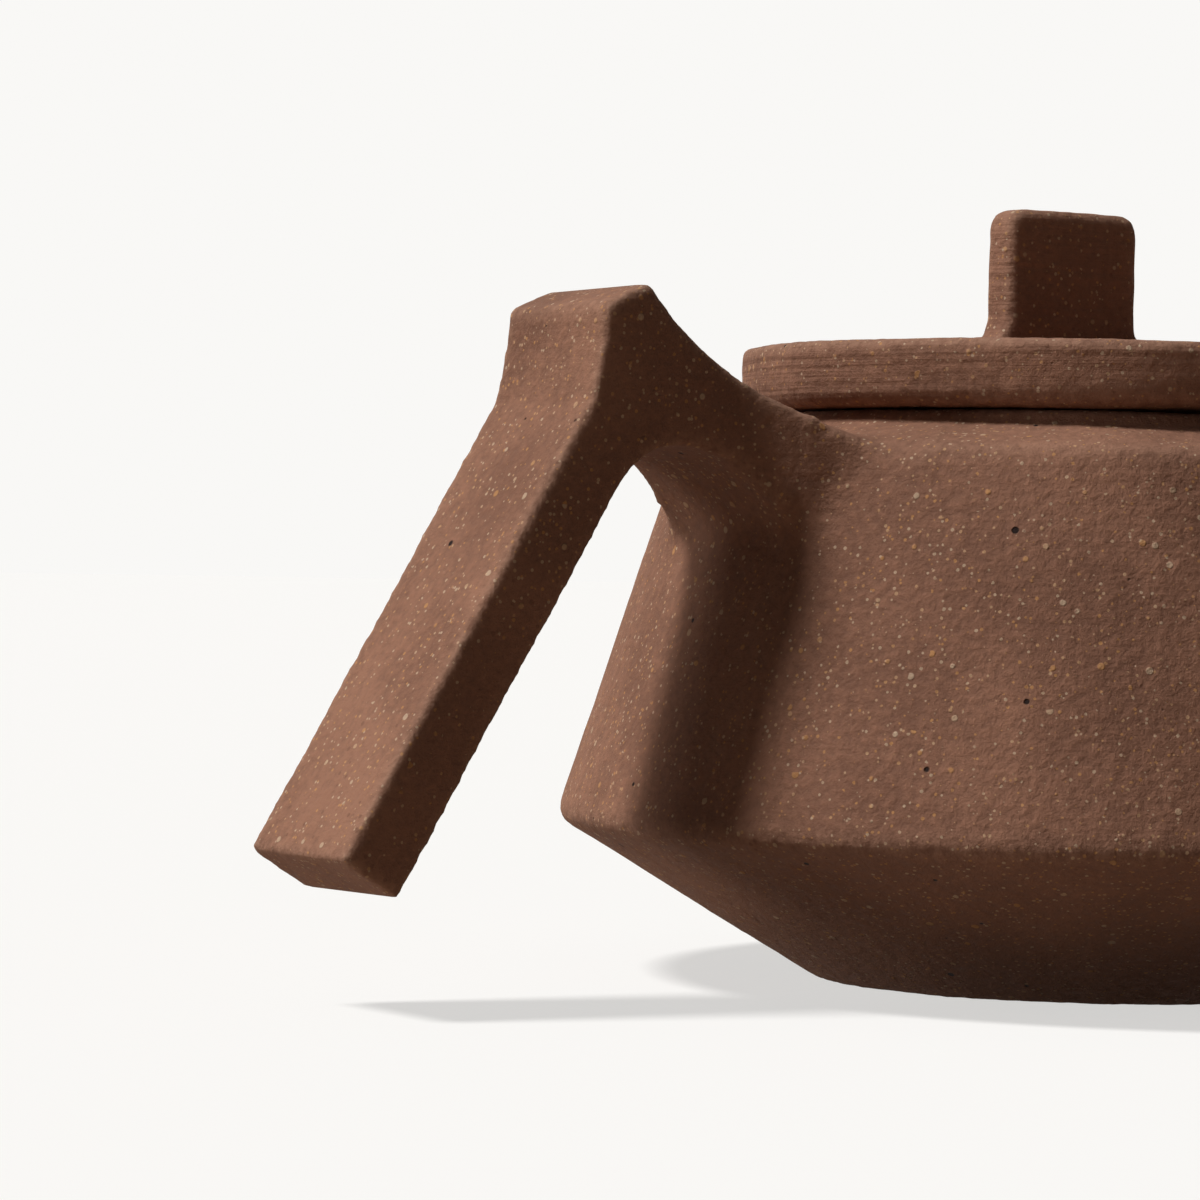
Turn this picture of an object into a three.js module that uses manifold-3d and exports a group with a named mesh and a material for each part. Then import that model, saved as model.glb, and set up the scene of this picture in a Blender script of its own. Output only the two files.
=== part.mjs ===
// A small unglazed teapot with its handle at the back, opposite the spout, and a flat disc lid.
// Millimetres, +Z up. The origin is the centre of the base on the table, and +X points to the spout.
import * as THREE from "three";
import { mergeVertices } from "three/addons/utils/BufferGeometryUtils.js";
import Module from "manifold-3d";

const wasm = await Module();
wasm.setup();

// Gap left at each luted seam and under the lid
const seam = 0.3;

// Pot body
const baseRadius = 30;
const bellyRadius = 60;
const bellyHeight = 17.9;
const shoulderRadius = 46.4;
const shoulderHeight = 60.3;
const wall = 3.6;
const floorThickness = 3.8;
const rimRadius = 37.2;
const rimHeight = 64.3;
const rimLip = 1.6;
const mouthRadius = 31.5;
const bellyRound = 1.4;
const shoulderRound = 1.2;

// Lid
const lidRadius = 39.4;
const lidThickness = 7.3;
const lidTopRound = 0.7;
const lidUnderRound = 2.2;
const flangeClearance = 0.8;
const flangeWall = 3;
const flangeDepth = 7;
const steamHoleRadius = 1.6;
const steamHoleReach = 15;
const knobLength = 18.7;
const knobThickness = 4.9;
const knobHeight = 15.9;
const knobOffset = -3.6;
const knobCorner = 1.5;
const knobFlare = 1.3;
const knobEdge = 0.8;

// Handle: a slab arm, a small plateau on top of its head, and a flared root on the shoulder
const handleWidth = 20;
const armThickness = 8.4;
const armLean = THREE.MathUtils.degToRad(31.3);
const armLength = 50.3;
const armTaper = 0.4;
const fingerGap = 21.7;
const archSpringDrop = 5.1;
const archRise = 4.4;
const archCrownRun = 8;
const archFootDrop = 11;
const archShoulder = 2.9;
const archSweep = 5.8;
const headHeight = 16.3;
const plateauRun = 5.5;
const plateauFall = 2.4;
const headDrop = 4;
const rootLap = 3.9;
const rootEdge = 0.7;
const rootFlare = 9;
const flareRun = 13;
const flareTurn = 3.6;

// Spout and strainer
const spoutHeight = 39;
const spoutLength = 33;
const spoutRise = THREE.MathUtils.degToRad(38);
const spoutTipBore = 5.4;
const spoutRootBore = 9.6;
const spoutWall = 2.6;
const spoutFlare = 3.4;
const spoutWaist = 14;
const spoutMouthTilt = THREE.MathUtils.degToRad(24);
const wallHoleRadius = 8.6;
const strainerRadius = 12.5;
const strainerDepth = 7;
const strainerWall = 2.2;
const strainerHoleRadius = 1;
const strainerRings = [
  { count: 1, tilt: 0 },
  { count: 6, tilt: 24 },
  { count: 12, tilt: 47 },
];

// Facets
const turnSteps = 72;
const smallSteps = 32;
const holeSteps = 8;
const curveSteps = 8;
const cornerSteps = 3;

// Sizes that follow
const wallLean = Math.atan2(bellyRadius - shoulderRadius, shoulderHeight - bellyHeight);
const lidUnder = rimHeight + seam;
const lidTop = lidUnder + lidThickness;
const spoutOuterTip = spoutTipBore + spoutWall;

function wallRadiusAt(z) {
  return bellyRadius - (z - bellyHeight) * Math.tan(wallLean);
}

// Joins and cuts
function solidOf(geometry) {
  const bare = geometry.index ? geometry.toNonIndexed() : geometry.clone();
  bare.deleteAttribute("normal");
  bare.deleteAttribute("uv");
  const merged = mergeVertices(bare, 1e-4);
  const mesh = new wasm.Mesh({
    numProp: 3,
    vertProperties: new Float32Array(merged.attributes.position.array),
    triVerts: new Uint32Array(merged.index.array),
  });
  return new wasm.Manifold(mesh);
}

function geometryOf(solid) {
  const { vertProperties, triVerts } = solid.getMesh();
  const geometry = new THREE.BufferGeometry();
  geometry.setAttribute("position", new THREE.BufferAttribute(new Float32Array(vertProperties), 3));
  geometry.setIndex(new THREE.BufferAttribute(new Uint32Array(triVerts), 1));
  geometry.computeVertexNormals();
  return geometry;
}

// Outlines
function point(x, y) {
  return new THREE.Vector2(x, y);
}

// Points of an outline whose listed corners are replaced by short curves of the given reach
function softened(corners) {
  const points = [];
  corners.forEach(({ at, round }, index) => {
    if (!round) {
      points.push(at);
      return;
    }
    const before = corners[index - 1].at;
    const after = corners[index + 1].at;
    const start = at.clone().add(before.clone().sub(at).setLength(round));
    const end = at.clone().add(after.clone().sub(at).setLength(round));
    points.push(...new THREE.QuadraticBezierCurve(start, at, end).getPoints(cornerSteps));
  });
  return points;
}

// Turned solid about +Z
function turned(points, steps = turnSteps) {
  const geometry = new THREE.LatheGeometry(points, steps);
  geometry.rotateX(Math.PI / 2);
  return solidOf(geometry);
}

function outerOutline(grow) {
  return softened([
    { at: point(0, -grow) },
    { at: point(baseRadius + grow, -grow) },
    { at: point(bellyRadius + grow, bellyHeight), round: bellyRound },
    { at: point(shoulderRadius + grow, shoulderHeight + grow), round: shoulderRound },
    { at: point(rimRadius + grow, rimHeight - rimLip + grow) },
    { at: point(rimRadius + grow, rimHeight + grow) },
    { at: point(0, rimHeight + grow) },
  ]);
}

function hollowOutline(shrink) {
  const inset = wall / Math.cos(wallLean) + shrink;
  return [
    point(0, floorThickness + shrink),
    point(baseRadius - shrink, floorThickness + shrink),
    point(bellyRadius - inset, bellyHeight + shrink),
    point(shoulderRadius - inset, shoulderHeight - wall - shrink),
    point(mouthRadius - shrink, shoulderHeight - shrink),
    point(mouthRadius - shrink, rimHeight + seam),
    point(0, rimHeight + seam),
  ];
}

// A frame on the wall at the spout: x outward along the given rise, origin on the wall's outer face
function atSpout(geometry, rise) {
  geometry.rotateZ(-Math.PI / 2);
  geometry.rotateY(-rise);
  geometry.translate(wallRadiusAt(spoutHeight), 0, spoutHeight);
  return geometry;
}

function bodySolid() {
  const reach = spoutWall + spoutRootBore;
  const hole = atSpout(new THREE.CylinderGeometry(wallHoleRadius, wallHoleRadius, reach * 2, smallSteps), spoutRise);
  return turned(outerOutline(0)).subtract(turned(hollowOutline(0))).subtract(solidOf(hole));
}

function spoutSolid() {
  const rootRadius = spoutRootBore + spoutWall;
  const buried = rootRadius * Math.tan(spoutRise);
  const outline = new THREE.CatmullRomCurve3([
    new THREE.Vector3(rootRadius + spoutFlare, -buried, 0),
    new THREE.Vector3(rootRadius + spoutFlare / 2, 0, 0),
    new THREE.Vector3((rootRadius + spoutOuterTip) / 2, spoutWaist, 0),
    new THREE.Vector3(spoutOuterTip, spoutLength, 0),
  ]).getPoints(curveSteps + 2);
  const ring = outline.map((at) => point(at.x, at.y));
  ring.push(point(spoutTipBore, spoutLength), point(spoutRootBore, -buried));
  ring.push(ring[0].clone());
  const tube = solidOf(atSpout(new THREE.LatheGeometry(ring, smallSteps), spoutRise));
  const mouth = new THREE.BoxGeometry(spoutLength, spoutLength, spoutLength);
  mouth.translate(0, spoutLength / 2, 0);
  mouth.rotateZ(-spoutMouthTilt);
  mouth.translate(0, spoutLength - spoutOuterTip * Math.tan(spoutMouthTilt), 0);
  return tube.subtract(solidOf(atSpout(mouth, spoutRise))).subtract(turned(outerOutline(seam)));
}

function strainerSolid() {
  const skirt = strainerWall + spoutFlare;
  const quarter = (radius, depth) =>
    new THREE.EllipseCurve(0, 0, radius, depth, -Math.PI / 2, 0).getPoints(curveSteps);
  const outside = quarter(strainerRadius, strainerDepth);
  const inside = quarter(strainerRadius - strainerWall, strainerDepth - strainerWall).reverse();
  const shell = [
    ...outside,
    point(strainerRadius, skirt),
    point(strainerRadius - strainerWall, skirt),
    ...inside,
  ];
  const axisShift = -wall;
  const placed = (geometry) => solidOf(atSpout(geometry.translate(0, axisShift, 0), wallLean));
  let dome = placed(new THREE.LatheGeometry(shell, smallSteps));
  for (const { count, tilt } of strainerRings) {
    for (let index = 0; index < count; index += 1) {
      const drill = new THREE.CylinderGeometry(strainerHoleRadius, strainerHoleRadius, strainerRadius, holeSteps);
      drill.translate(0, -strainerRadius / 2 - strainerHoleRadius, 0);
      drill.rotateX(THREE.MathUtils.degToRad(tilt));
      drill.rotateY((2 * Math.PI * index) / count);
      dome = dome.subtract(placed(drill));
    }
  }
  return dome.intersect(turned(hollowOutline(seam)));
}

// The handle's side view: x is minus the distance from the pot's axis, y is the height
function handleProfile() {
  const springHeight = shoulderHeight - archSpringDrop;
  const spring = point(-(wallRadiusAt(springHeight) + fingerGap), springHeight);
  const along = point(-Math.sin(armLean), -Math.cos(armLean));
  const outward = point(-Math.cos(armLean), Math.sin(armLean));
  const innerEnd = spring.clone().addScaledVector(along, armLength);
  const outerEnd = innerEnd.clone().addScaledVector(outward, armThickness - armTaper);
  const peakOuter = point(spring.x - plateauFall, shoulderHeight + headHeight - plateauFall);
  const peakInner = point(peakOuter.x + plateauRun, shoulderHeight + headHeight);
  const dropFoot = point(peakOuter.x - seam, peakOuter.y - headDrop);
  const elbow = point(dropFoot.x - seam, dropFoot.y - headDrop / 2);
  const armTop = outerEnd.clone().addScaledVector(along, -(outerEnd.distanceTo(elbow) - headDrop));
  const crown = point(spring.x + archCrownRun, springHeight + archRise);
  const footHeight = shoulderHeight - archFootDrop;
  const foot = point(-wallRadiusAt(footHeight) + wall / 2, footHeight);
  const lapRadius = shoulderRadius - rootLap;
  const profile = new THREE.Shape();
  profile.moveTo(spring.x, spring.y);
  profile.quadraticCurveTo(spring.x + archShoulder, crown.y, crown.x, crown.y);
  profile.quadraticCurveTo(foot.x - archSweep, crown.y, foot.x, foot.y);
  profile.lineTo(-lapRadius, shoulderHeight - wall);
  profile.lineTo(-lapRadius, shoulderHeight + rootEdge);
  profile.quadraticCurveTo(peakInner.x + plateauRun, shoulderHeight + headHeight / 2, peakInner.x, peakInner.y);
  profile.lineTo(peakOuter.x, peakOuter.y);
  profile.lineTo(dropFoot.x, dropFoot.y);
  profile.quadraticCurveTo(elbow.x, elbow.y, armTop.x, armTop.y);
  profile.lineTo(outerEnd.x, outerEnd.y);
  profile.lineTo(innerEnd.x, innerEnd.y);
  profile.closePath();
  return { profile, reach: -outerEnd.x };
}

// The handle's plan: straight sides that flare where they meet the pot
function handlePlan(reach) {
  const half = handleWidth / 2;
  const wallX = -shoulderRadius;
  const plan = new THREE.Shape();
  plan.moveTo(-reach - half, -half);
  plan.lineTo(wallX - flareRun, -half);
  plan.quadraticCurveTo(wallX - flareTurn, -half, wallX + wall, -half - rootFlare);
  plan.lineTo(0, -half - rootFlare);
  plan.lineTo(0, half + rootFlare);
  plan.lineTo(wallX + wall, half + rootFlare);
  plan.quadraticCurveTo(wallX - flareTurn, half, wallX - flareRun, half);
  plan.lineTo(-reach - half, half);
  plan.closePath();
  return plan;
}

function handleSolid() {
  const { profile, reach } = handleProfile();
  const breadth = handleWidth + 4 * rootFlare;
  const side = new THREE.ExtrudeGeometry(profile, { depth: breadth, bevelEnabled: false, curveSegments: curveSteps });
  side.rotateX(Math.PI / 2);
  side.translate(0, breadth / 2, 0);
  const height = shoulderHeight + headHeight * 2;
  const flared = new THREE.ExtrudeGeometry(handlePlan(reach), {
    depth: height,
    bevelEnabled: false,
    curveSegments: curveSteps,
  });
  return solidOf(side).intersect(solidOf(flared)).subtract(turned(outerOutline(seam)));
}

function lidDiscSolid() {
  const outline = softened([
    { at: point(0, lidUnder) },
    { at: point(lidRadius, lidUnder), round: lidUnderRound },
    { at: point(lidRadius, lidTop), round: lidTopRound },
    { at: point(0, lidTop) },
  ]);
  const steam = new THREE.CylinderGeometry(steamHoleRadius, steamHoleRadius, lidThickness * 3, smallSteps / 2);
  steam.rotateX(Math.PI / 2);
  steam.translate(steamHoleReach, 0, lidTop);
  return turned(outline).subtract(solidOf(steam));
}

function lidFlangeSolid() {
  const outer = mouthRadius - flangeClearance;
  const inner = outer - flangeWall;
  const top = lidUnder - seam;
  const corners = [point(inner, top - flangeDepth), point(outer, top - flangeDepth), point(outer, top)];
  return turned([...corners, point(inner, top), corners[0].clone()]);
}

function lidKnobSolid() {
  const half = knobLength / 2 - knobEdge;
  const foot = lidTop + seam + knobEdge;
  const top = foot + knobHeight - 2 * knobEdge;
  const face = new THREE.Shape();
  face.moveTo(-half - knobFlare, foot);
  face.lineTo(half + knobFlare, foot);
  face.quadraticCurveTo(half, foot + knobFlare / 2, half, foot + 2 * knobFlare);
  face.lineTo(half, top - knobCorner);
  face.quadraticCurveTo(half, top, half - knobCorner, top);
  face.lineTo(-half + knobCorner, top);
  face.quadraticCurveTo(-half, top, -half, top - knobCorner);
  face.lineTo(-half, foot + 2 * knobFlare);
  face.quadraticCurveTo(-half, foot + knobFlare / 2, -half - knobFlare, foot);
  const slab = new THREE.ExtrudeGeometry(face, {
    depth: knobThickness - 2 * knobEdge,
    bevelThickness: knobEdge,
    bevelSize: knobEdge,
    bevelSegments: 2,
    curveSegments: 4,
  });
  slab.rotateX(Math.PI / 2);
  slab.translate(knobOffset, knobThickness / 2 - knobEdge, 0);
  return solidOf(slab);
}

const clay = { color: 0x7a5140, roughness: 0.85, metalness: 0 };
const paleClay = { color: 0x8c6350, roughness: 0.85, metalness: 0 };

function piece(name, solid, finish) {
  const mesh = new THREE.Mesh(geometryOf(solid), new THREE.MeshStandardMaterial(finish));
  mesh.name = name;
  return mesh;
}

const pot = new THREE.Group();
pot.add(piece("body", bodySolid(), clay));
pot.add(piece("handle", handleSolid(), paleClay));
pot.add(piece("spout", spoutSolid(), clay));
pot.add(piece("strainer", strainerSolid(), clay));

const lid = new THREE.Group();
lid.add(piece("lid_disc", lidDiscSolid(), clay));
lid.add(piece("lid_flange", lidFlangeSolid(), clay));
lid.add(piece("lid_knob", lidKnobSolid(), paleClay));

const teapot = new THREE.Group();
teapot.add(pot, lid);

export default teapot;
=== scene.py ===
"""An unglazed back-handle teapot in speckled stoneware: the finish of the clay, the studio and the camera."""

import math

import bmesh
import bpy
import numpy as np
from mathutils import Matrix, Vector, noise
from mathutils.bvhtree import BVHTree
from mathutils.kdtree import KDTree


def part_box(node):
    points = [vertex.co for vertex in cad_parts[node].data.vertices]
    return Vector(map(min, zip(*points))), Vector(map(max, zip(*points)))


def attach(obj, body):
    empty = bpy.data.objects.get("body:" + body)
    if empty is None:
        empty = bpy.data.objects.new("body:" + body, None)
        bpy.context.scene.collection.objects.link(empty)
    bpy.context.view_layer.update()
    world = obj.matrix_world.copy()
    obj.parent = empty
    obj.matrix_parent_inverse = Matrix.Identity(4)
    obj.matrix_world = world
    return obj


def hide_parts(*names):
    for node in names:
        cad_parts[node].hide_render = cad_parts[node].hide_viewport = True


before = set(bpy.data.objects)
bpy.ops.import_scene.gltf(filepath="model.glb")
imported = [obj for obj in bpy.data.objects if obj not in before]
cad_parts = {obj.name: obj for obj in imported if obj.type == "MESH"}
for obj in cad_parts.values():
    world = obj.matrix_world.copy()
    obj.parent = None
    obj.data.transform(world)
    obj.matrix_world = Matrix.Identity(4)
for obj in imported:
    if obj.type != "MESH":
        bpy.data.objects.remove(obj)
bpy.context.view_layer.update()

MM = 0.001

# Camera, from the photograph's perspective
VIEW_AZIMUTH = math.radians(51.0)
VIEW_YAW = math.radians(-6.15)
VIEW_PITCH = math.radians(-0.6)
VIEW_ROLL = math.radians(1.09)
CAMERA_DISTANCE = 516.5 * MM
CAMERA_HEIGHT = 48 * MM
FOCAL_PIXELS = 4454.6
FRAME_PIXELS = 1200
SENSOR_WIDTH = 36
NEAREST_SEEN = 10 * MM

# Studio
WINDOW_AZIMUTH = math.radians(160)
HIGH_RISE = math.radians(57)
HIGH_STRENGTH = 3.4
HIGH_SOFTNESS = math.radians(12)
LOW_RISE = math.radians(8)
LOW_STRENGTH = 0.9
LOW_SOFTNESS = math.radians(20)
AMBIENT = 0.035
FLOOR_SIZE = 12
FLOOR_COLOR = (0.95, 0.93, 0.9, 1)
FLOOR_BOUNCE = (0.24, 0.17, 0.12, 1)
FLOOR_GLOW = 0.65
FLOOR_ROUGHNESS = 0.9
BACKDROP_COLOR = (0.947, 0.938, 0.92, 1)

# Clay skins
POT_GRID = 0.62 * MM
LID_GRID = 0.5 * MM
POT_TRIANGLES = 180000
LID_TRIANGLES = 90000
SEAM_REACH = 0.45 * MM
LUTING = 1.3 * MM
SOFTEN_ROUNDS = 6
FILLET_REACH = 4.5 * MM
FILLET_ROUNDS = 40
UNEVEN_SIZE = 14 * MM
UNEVEN_DEPTH = 0.16 * MM
GRAIN_SIZE = 1.6 * MM
GRAIN_DEPTH = 0.09 * MM
WEAR_GAIN = 4.5
MERGE_DISTANCE = 0.01 * MM
SMOOTHING = 0.5
QUAD_TRIANGLES = 2
SHORTEST_SPAN = 1e-9

# Clay colours, linear
CLAY_RED = (0.275, 0.135, 0.085, 1)
CLAY_BROWN = (0.175, 0.083, 0.052, 1)
CLAY_PALE = (0.42, 0.27, 0.19, 1)
GROG_CREAM = (0.55, 0.41, 0.28, 1)
GROG_OCHRE = (0.5, 0.25, 0.09, 1)
# Painted shade: near black put into the pits, standing in for the shadow inside each small hollow
PIT_PAINTED_SHADE = (0.018, 0.01, 0.008, 1)

# Clay grain: scales in features per metre, and the ranges of a noise that a ramp spreads out
CLOUD_SCALE = 55.0
CLOUD_DETAIL = 5.0
CLOUD_SHARE = 0.5
BODY_GRAIN_SCALE = 900.0
BODY_GRAIN_DETAIL = 7.0
BODY_GRAIN_ROUGHNESS = 0.65
BLOTCH_RANGE = (0.4, 0.6)
WORN_RANGE = (0.35, 0.6)
WORN_PALENESS = 0.6
OCHRE_TO_CREAM = (0.25, 0.75)
DARK_DEPTH = 0.7
ROUGHNESS_RANGE = (0.3, 0.7)
ROUGHNESS_VALUES = (0.72, 0.95)

# Kinds of grain: cells per metre, radius as a share of a cell, and the share of cells that hold one
FINE_GRAINS = (2400.0, 0.6, 0.3)
COARSE_GRAINS = (1000.0, 0.5, 0.09)
DARK_GRAINS = (1300.0, 0.45, 0.12)
PITS = (360.0, 0.17, 0.14)
GRAIN_EDGE = 0.25

# Clay relief
RING_SCALE = (25.0, 25.0, 1100.0)
RING_DETAIL = 3.0
BODY_GRAIN_HEIGHT = 0.9
COARSE_GRAIN_HEIGHT = 0.18
BUMP_STRENGTH = 0.75
CLAY_SPECULAR = 0.15
SPECKLE = 0.6
POT_TURNING = 0.25
POT_RELIEF = 0.55 * MM
LID_TURNING = 0.9
LID_RELIEF = 0.5 * MM


# Clay shapes

def clay_copy(node):
    """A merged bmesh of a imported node."""
    shape = bmesh.new()
    shape.from_mesh(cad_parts[node].data)
    bmesh.ops.remove_doubles(shape, verts=shape.verts, dist=MERGE_DISTANCE)
    return shape


def lute(shape, onto):
    """Presses the seam face of a piece into the piece that carries it, and returns where the seam was."""
    seam = []
    for vert in shape.verts:
        place, _, _, gap = onto.find_nearest(vert.co)
        if gap < SEAM_REACH:
            seam.append(place)
            vert.co += (place - vert.co).normalized() * (gap + LUTING)
    return seam


def with_modifier(skin, kind, **settings):
    """The object's mesh with one modifier applied."""
    modifier = skin.modifiers.new(kind.lower(), kind)
    for key, value in settings.items():
        setattr(modifier, key, value)
    graph = bpy.context.evaluated_depsgraph_get()
    skin.data = bpy.data.meshes.new_from_object(skin.evaluated_get(graph))
    skin.modifiers.clear()


def soften(mesh, seam):
    """Rounds the edges a little, and works the clay along the seams into fillets."""
    points = KDTree(len(seam))
    for index, place in enumerate(seam):
        points.insert(place, index)
    points.balance()
    shape = bmesh.new()
    shape.from_mesh(mesh)
    near_seam = [vert for vert in shape.verts if points.find(vert.co)[2] < FILLET_REACH]
    for verts, rounds in ((shape.verts, SOFTEN_ROUNDS), (near_seam, FILLET_ROUNDS)):
        for _ in range(rounds):
            bmesh.ops.smooth_vert(
                shape, verts=verts, factor=SMOOTHING, use_axis_x=True, use_axis_y=True, use_axis_z=True
            )
    shape.to_mesh(mesh)
    shape.free()


def keep_in_box(points, nodes):
    """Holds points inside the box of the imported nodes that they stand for."""
    corners = [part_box(node) for node in nodes]
    low = np.min([low for low, _ in corners], axis=0)
    high = np.max([high for _, high in corners], axis=0)
    return np.clip(points, low, high)


def mesh_arrays(mesh):
    points = np.empty(len(mesh.vertices) * 3)
    mesh.vertices.foreach_get("co", points)
    normals = np.empty(len(mesh.vertices) * 3)
    mesh.vertex_normals.foreach_get("vector", normals)
    edges = np.empty(len(mesh.edges) * 2, dtype=np.int64)
    mesh.edges.foreach_get("vertices", edges)
    return points.reshape(-1, 3), normals.reshape(-1, 3), edges.reshape(-1, 2)


def mark_wear(mesh):
    """Stores how far each point stands out as a ridge, 0 to 1, in the attribute named wear."""
    points, normals, edges = mesh_arrays(mesh)
    ends = np.concatenate([edges, edges[:, ::-1]])
    spans = points[ends[:, 1]] - points[ends[:, 0]]
    lengths = np.linalg.norm(spans, axis=1).clip(SHORTEST_SPAN)
    slope = np.einsum("ij,ij->i", spans, normals[ends[:, 0]]) / lengths
    count = np.bincount(ends[:, 0], minlength=len(points)).clip(1)
    ridge = -np.bincount(ends[:, 0], slope, len(points)) / count
    ridge = np.bincount(ends[:, 0], ridge[ends[:, 1]], len(points)) / count
    layer = mesh.attributes.new("wear", "FLOAT", "POINT")
    layer.data.foreach_set("value", (ridge * WEAR_GAIN).clip(0, 1))


def roughen(mesh, nodes):
    """The uneven, granular surface of hand-finished clay."""
    points, normals, _ = mesh_arrays(mesh)
    relief = np.array([
        UNEVEN_DEPTH * noise.noise(Vector(place) / UNEVEN_SIZE)
        + GRAIN_DEPTH * noise.noise(Vector(place) / GRAIN_SIZE)
        for place in points
    ])
    points = keep_in_box(points + normals * relief[:, None], nodes)
    mesh.vertices.foreach_set("co", points.ravel())
    mesh.update()


def clay_skin(name, body, base, joined, grid, triangles):
    """One skin over a piece and the pieces luted to it, with soft fillets and worn edges."""
    carrier = clay_copy(base)
    tree = BVHTree.FromBMesh(carrier)
    seam = []
    for node in joined:
        shape = clay_copy(node)
        seam += lute(shape, tree)
        spare = bpy.data.meshes.new(node)
        shape.to_mesh(spare)
        shape.free()
        carrier.from_mesh(spare)
        bpy.data.meshes.remove(spare)
    rough = bpy.data.meshes.new(name)
    carrier.to_mesh(rough)
    carrier.free()
    skin = bpy.data.objects.new(name, rough)
    bpy.context.scene.collection.objects.link(skin)
    with_modifier(skin, "REMESH", mode="VOXEL", voxel_size=grid)
    soften(skin.data, seam)
    had = QUAD_TRIANGLES * len(skin.data.polygons)
    with_modifier(skin, "DECIMATE", ratio=min(1.0, triangles / had))
    mark_wear(skin.data)
    roughen(skin.data, (base, *joined))
    skin.data.shade_smooth()
    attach(skin, body)
    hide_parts(base, *joined)
    return skin


# Clay finish

def link(tree, node, inputs):
    """Sets a node's inputs: a socket is linked and anything else is a value."""
    for key, value in inputs.items():
        if isinstance(value, bpy.types.NodeSocket):
            tree.links.new(value, node.inputs[key])
        else:
            node.inputs[key].default_value = value


def add(tree, kind, inputs=None, **settings):
    node = tree.nodes.new(kind)
    for key, value in settings.items():
        setattr(node, key, value)
    link(tree, node, inputs or {})
    return node


def math_node(tree, operation, first, second):
    return add(tree, "ShaderNodeMath", {0: first, 1: second}, operation=operation).outputs[0]


def mixed(tree, share, first, second):
    mix = add(tree, "ShaderNodeMix", {0: share, 6: first, 7: second}, data_type="RGBA")
    return mix.outputs[2]


def ramp(tree, value, low, high, to_low=0.0, to_high=1.0):
    node = add(tree, "ShaderNodeMapRange", {0: value, 1: low, 2: high, 3: to_low, 4: to_high})
    return node.outputs[0]


def grains(tree, place, per_metre, radius, share):
    """A mask of scattered grains, and a random value for each."""
    cells = add(tree, "ShaderNodeTexVoronoi", {"Vector": place, "Scale": per_metre})
    parts = add(tree, "ShaderNodeSeparateColor", {0: cells.outputs["Color"]})
    size = math_node(tree, "MULTIPLY", parts.outputs[1], radius)
    inside = math_node(tree, "SUBTRACT", size, cells.outputs["Distance"])
    there = math_node(tree, "LESS_THAN", parts.outputs[0], share)
    mask = math_node(tree, "MULTIPLY", ramp(tree, inside, 0.0, radius * GRAIN_EDGE), there)
    return mask, parts.outputs[2]


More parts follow.
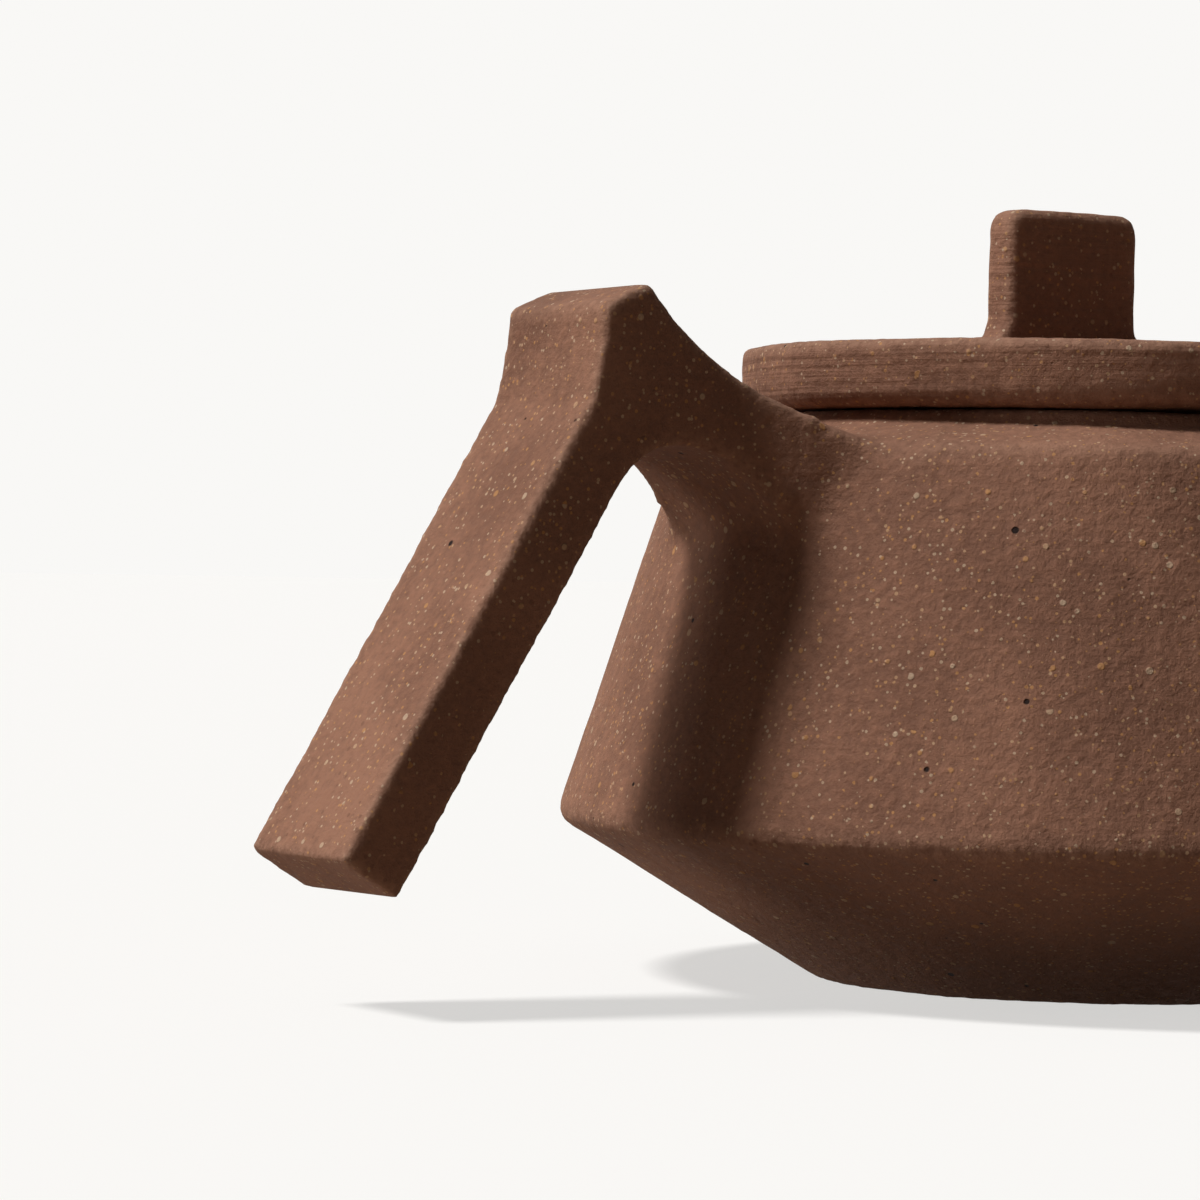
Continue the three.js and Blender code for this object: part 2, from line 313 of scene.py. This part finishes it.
def grog_group():
    """Speckled stoneware: colour, roughness and height from a place on the piece and its wear."""
    tree = bpy.data.node_groups.new("grog", "ShaderNodeTree")
    sockets = (
        ("Place", "NodeSocketVector"),
        ("Red", "NodeSocketColor"),
        ("Brown", "NodeSocketColor"),
        ("Speckle", "NodeSocketFloat"),
        ("Wear", "NodeSocketFloat"),
        ("Turning", "NodeSocketFloat"),
    )
    for name, kind in sockets:
        tree.interface.new_socket(name, in_out="INPUT", socket_type=kind)
    results = (("Color", "NodeSocketColor"), ("Roughness", "NodeSocketFloat"), ("Height", "NodeSocketFloat"))
    for name, kind in results:
        tree.interface.new_socket(name, in_out="OUTPUT", socket_type=kind)
    given = tree.nodes.new("NodeGroupInput").outputs
    place = given["Place"]

    cloud_inputs = {"Vector": place, "Scale": CLOUD_SCALE, "Detail": CLOUD_DETAIL}
    clouds = add(tree, "ShaderNodeTexNoise", cloud_inputs).outputs["Fac"]
    body_grain = add(tree, "ShaderNodeTexNoise", {
        "Vector": place,
        "Scale": BODY_GRAIN_SCALE,
        "Detail": BODY_GRAIN_DETAIL,
        "Roughness": BODY_GRAIN_ROUGHNESS,
    }).outputs["Fac"]
    clouds_part = math_node(tree, "MULTIPLY", clouds, CLOUD_SHARE)
    grain_part = math_node(tree, "MULTIPLY", body_grain, 1 - CLOUD_SHARE)
    blotch = math_node(tree, "ADD", clouds_part, grain_part)
    color = mixed(tree, ramp(tree, blotch, *BLOTCH_RANGE), given["Brown"], given["Red"])

    worn_edge = math_node(tree, "MULTIPLY", given["Wear"], ramp(tree, body_grain, *WORN_RANGE))
    color = mixed(tree, math_node(tree, "MULTIPLY", worn_edge, WORN_PALENESS), color, CLAY_PALE)

    fine, fine_pick = grains(tree, place, *FINE_GRAINS)
    coarse, coarse_pick = grains(tree, place, *COARSE_GRAINS)
    dark, _ = grains(tree, place, *DARK_GRAINS)
    pit_and_its_shade, _ = grains(tree, place, *PITS)
    for mask, pick in ((fine, fine_pick), (coarse, coarse_pick)):
        grain_color = mixed(tree, ramp(tree, pick, *OCHRE_TO_CREAM), GROG_OCHRE, GROG_CREAM)
        color = mixed(tree, math_node(tree, "MULTIPLY", mask, given["Speckle"]), color, grain_color)
    color = mixed(tree, math_node(tree, "MULTIPLY", dark, DARK_DEPTH), color, CLAY_BROWN)
    # Painted shade: the pits are darkened to near black for the shadow in each hollow; the same mask also
    # sinks them in the height below
    color = mixed(tree, pit_and_its_shade, color, PIT_PAINTED_SHADE)

    flat = add(tree, "ShaderNodeMapping", {"Vector": place, "Scale": RING_SCALE})
    ring_inputs = {"Vector": flat.outputs[0], "Scale": 1.0, "Detail": RING_DETAIL}
    rings = add(tree, "ShaderNodeTexNoise", ring_inputs).outputs["Fac"]
    height = math_node(tree, "MULTIPLY", body_grain, BODY_GRAIN_HEIGHT)
    height = math_node(tree, "ADD", height, math_node(tree, "MULTIPLY", rings, given["Turning"]))
    height = math_node(tree, "ADD", height, math_node(tree, "MULTIPLY", coarse, COARSE_GRAIN_HEIGHT))
    height = math_node(tree, "SUBTRACT", height, pit_and_its_shade)

    roughness = ramp(tree, body_grain, *ROUGHNESS_RANGE, *ROUGHNESS_VALUES)
    out = tree.nodes.new("NodeGroupOutput")
    link(tree, out, {"Color": color, "Roughness": roughness, "Height": height})
    return tree


def clay(name, grog, turning, relief):
    """A clay material with its share of turning rings and its depth of relief."""
    material = bpy.data.materials.new(name)
    material.use_nodes = True
    tree = material.node_tree
    shader = tree.nodes["Principled BSDF"]
    place = add(tree, "ShaderNodeTexCoord").outputs["Object"]
    wear = add(tree, "ShaderNodeAttribute", attribute_name="wear").outputs["Fac"]
    finish = add(tree, "ShaderNodeGroup", node_tree=grog)
    link(tree, finish, {
        "Place": place,
        "Red": CLAY_RED,
        "Brown": CLAY_BROWN,
        "Speckle": SPECKLE,
        "Wear": wear,
        "Turning": turning,
    })
    bump = add(tree, "ShaderNodeBump", {
        "Strength": BUMP_STRENGTH,
        "Distance": relief,
        "Height": finish.outputs["Height"],
    })
    link(tree, shader, {
        "Base Color": finish.outputs["Color"],
        "Roughness": finish.outputs["Roughness"],
        "Normal": bump.outputs[0],
        "Specular IOR Level": CLAY_SPECULAR,
    })
    return material


# Studio

def camera():
    forward = Vector((math.cos(VIEW_AZIMUTH), math.sin(VIEW_AZIMUTH), 0))
    right = Vector((math.sin(VIEW_AZIMUTH), -math.cos(VIEW_AZIMUTH), 0))
    up = Vector((0, 0, 1))
    place = -CAMERA_DISTANCE * forward + CAMERA_HEIGHT * up
    forward, right = (
        math.cos(VIEW_YAW) * forward + math.sin(VIEW_YAW) * right,
        math.cos(VIEW_YAW) * right - math.sin(VIEW_YAW) * forward,
    )
    forward, up = (
        math.cos(VIEW_PITCH) * forward + math.sin(VIEW_PITCH) * up,
        math.cos(VIEW_PITCH) * up - math.sin(VIEW_PITCH) * forward,
    )
    right, up = (
        math.cos(VIEW_ROLL) * right + math.sin(VIEW_ROLL) * up,
        math.cos(VIEW_ROLL) * up - math.sin(VIEW_ROLL) * right,
    )
    lens = bpy.data.cameras.new("camera")
    lens.sensor_width = SENSOR_WIDTH
    lens.lens = FOCAL_PIXELS / FRAME_PIXELS * SENSOR_WIDTH
    lens.clip_start = NEAREST_SEEN
    seen = bpy.data.objects.new("camera", lens)
    seen.matrix_world = Matrix.Translation(place) @ Matrix((right, up, -forward)).transposed().to_4x4()
    bpy.context.scene.collection.objects.link(seen)
    bpy.context.scene.camera = seen


def window_light(name, rise, strength, softness):
    """One part of a tall window to the left: its rise above the floor, its strength and its softness."""
    toward = Vector((
        math.cos(WINDOW_AZIMUTH) * math.cos(rise),
        math.sin(WINDOW_AZIMUTH) * math.cos(rise),
        math.sin(rise),
    ))
    lamp = bpy.data.lights.new(name, "SUN")
    lamp.energy = strength
    lamp.angle = softness
    lit = bpy.data.objects.new(name, lamp)
    lit.rotation_euler = toward.to_track_quat("Z", "Y").to_euler()
    bpy.context.scene.collection.objects.link(lit)


def seen_directly(tree):
    """1 for what the camera sees straight, in a mirror or through glass."""
    path = add(tree, "ShaderNodeLightPath").outputs
    seen = math_node(tree, "MAXIMUM", path["Is Camera Ray"], path["Is Glossy Ray"])
    return math_node(tree, "MAXIMUM", seen, path["Is Transmission Ray"])


def backdrop():
    world = bpy.data.worlds.new("backdrop")
    world.use_nodes = True
    tree = world.node_tree
    shown = tree.nodes["Background"]
    shown.inputs["Color"].default_value = BACKDROP_COLOR
    link(tree, shown, {"Strength": ramp(tree, seen_directly(tree), 0.0, 1.0, AMBIENT, 1.0)})
    bpy.context.scene.world = world


def studio_floor():
    shape = bmesh.new()
    bmesh.ops.create_grid(shape, x_segments=1, y_segments=1, size=FLOOR_SIZE / 2)
    mesh = bpy.data.meshes.new("floor")
    shape.to_mesh(mesh)
    shape.free()
    ground = bpy.data.objects.new("floor", mesh)
    bpy.context.scene.collection.objects.link(ground)
    material = bpy.data.materials.new("floor")
    material.use_nodes = True
    tree = material.node_tree
    shader = tree.nodes["Principled BSDF"]
    seen = seen_directly(tree)
    color = mixed(tree, seen, FLOOR_BOUNCE, FLOOR_COLOR)
    link(tree, shader, {"Base Color": color, "Roughness": FLOOR_ROUGHNESS})
    glow = add(tree, "ShaderNodeEmission", {"Color": BACKDROP_COLOR, "Strength": 1.0})
    share = math_node(tree, "MULTIPLY", seen, FLOOR_GLOW)
    blend = add(tree, "ShaderNodeMixShader", {0: share, 1: shader.outputs[0], 2: glow.outputs[0]})
    link(tree, tree.nodes["Material Output"], {"Surface": blend.outputs[0]})
    mesh.materials.append(material)


camera()
window_light("high", HIGH_RISE, HIGH_STRENGTH, HIGH_SOFTNESS)
window_light("low", LOW_RISE, LOW_STRENGTH, LOW_SOFTNESS)
backdrop()
studio_floor()

grog = grog_group()
pot_clay = clay("pot_clay", grog, POT_TURNING, POT_RELIEF)
lid_clay = clay("lid_clay", grog, LID_TURNING, LID_RELIEF)

pot_skin = clay_skin("pot_skin", "pot", "body", ("handle", "spout"), POT_GRID, POT_TRIANGLES)
pot_skin.data.materials.clear()
pot_skin.data.materials.append(pot_clay)

lid_skin = clay_skin("lid_skin", "lid", "lid_disc", ("lid_flange", "lid_knob"), LID_GRID, LID_TRIANGLES)
lid_skin.data.materials.clear()
lid_skin.data.materials.append(lid_clay)

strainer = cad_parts["strainer"]
strainer.data.materials.clear()
strainer.data.materials.append(pot_clay)

view = bpy.context.scene.view_settings
view.view_transform = "Standard"
